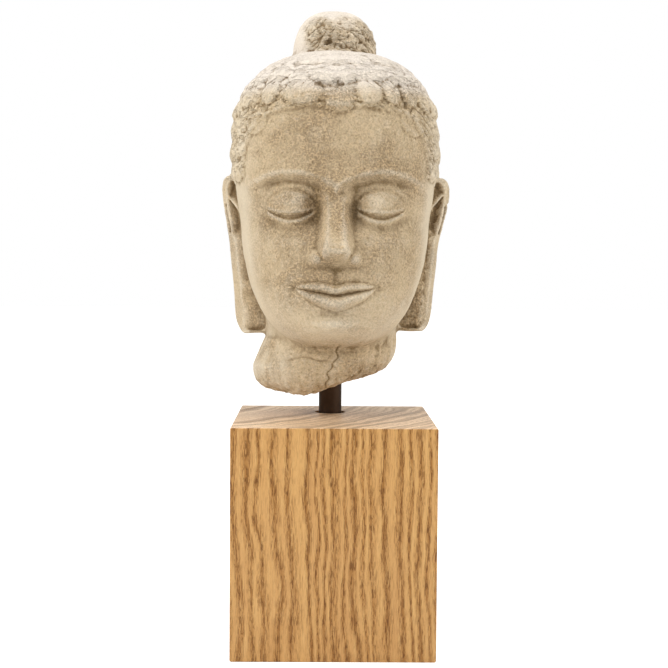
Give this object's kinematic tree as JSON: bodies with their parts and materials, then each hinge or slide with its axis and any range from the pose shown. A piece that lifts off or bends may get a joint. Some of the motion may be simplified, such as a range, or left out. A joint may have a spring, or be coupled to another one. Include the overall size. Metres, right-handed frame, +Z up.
{
  "type": "stone head sculpture on a stand",
  "caption": "Carved stone head with curled hair, topknot and long ears, broken at the neck, held on a steel rod set in an oak block.",
  "frame": {"origin": "middle of the oak block's underside", "axes": "+Z up along the rod, the face looks along -Y, +X is to the right as seen from the front"},
  "size_m": [0.1068, 0.1219, 0.2889],
  "materials": {
    "stone": "weathered, pitted sandstone with worn pale edges",
    "rod": "dark brown patina",
    "oak": "planed oak with a satin lacquer"
  },
  "bodies": {
    "root": {"stone_head": "stone", "steel_rod": "rod", "oak_block": "oak"}
  },
  "joints": []
}
